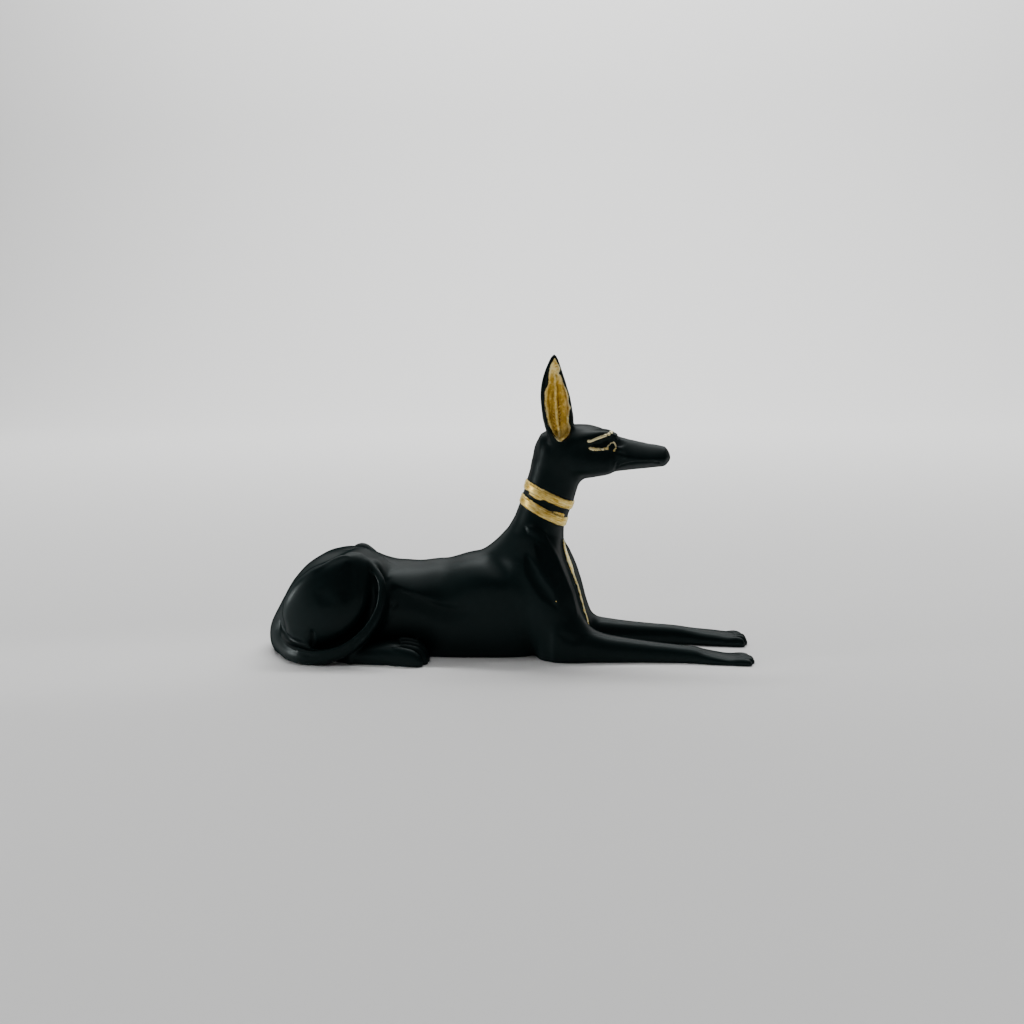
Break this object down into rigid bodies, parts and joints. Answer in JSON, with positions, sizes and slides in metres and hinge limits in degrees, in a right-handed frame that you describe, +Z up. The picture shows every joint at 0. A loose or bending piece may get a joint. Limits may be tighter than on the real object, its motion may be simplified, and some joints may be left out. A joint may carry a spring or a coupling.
{
  "type": "recumbent jackal figurine",
  "caption": "Recumbent jackal figurine cast in one piece, for a shelf or desk: black, with painted gold ears, eye lines, collar and breast sash.",
  "frame": {"origin": "middle of the figure's box, on the flat underside", "axes": "+X the way the jackal faces, along the body; +Z up; the tail lies on the -Y side"},
  "size_m": [0.1998, 0.0632, 0.1209],
  "materials": {
    "black_paint": "satin black paint over cast resin, with gold brushed on by hand"
  },
  "bodies": {
    "root": {"jackal_figure": "black_paint"}
  },
  "joints": []
}
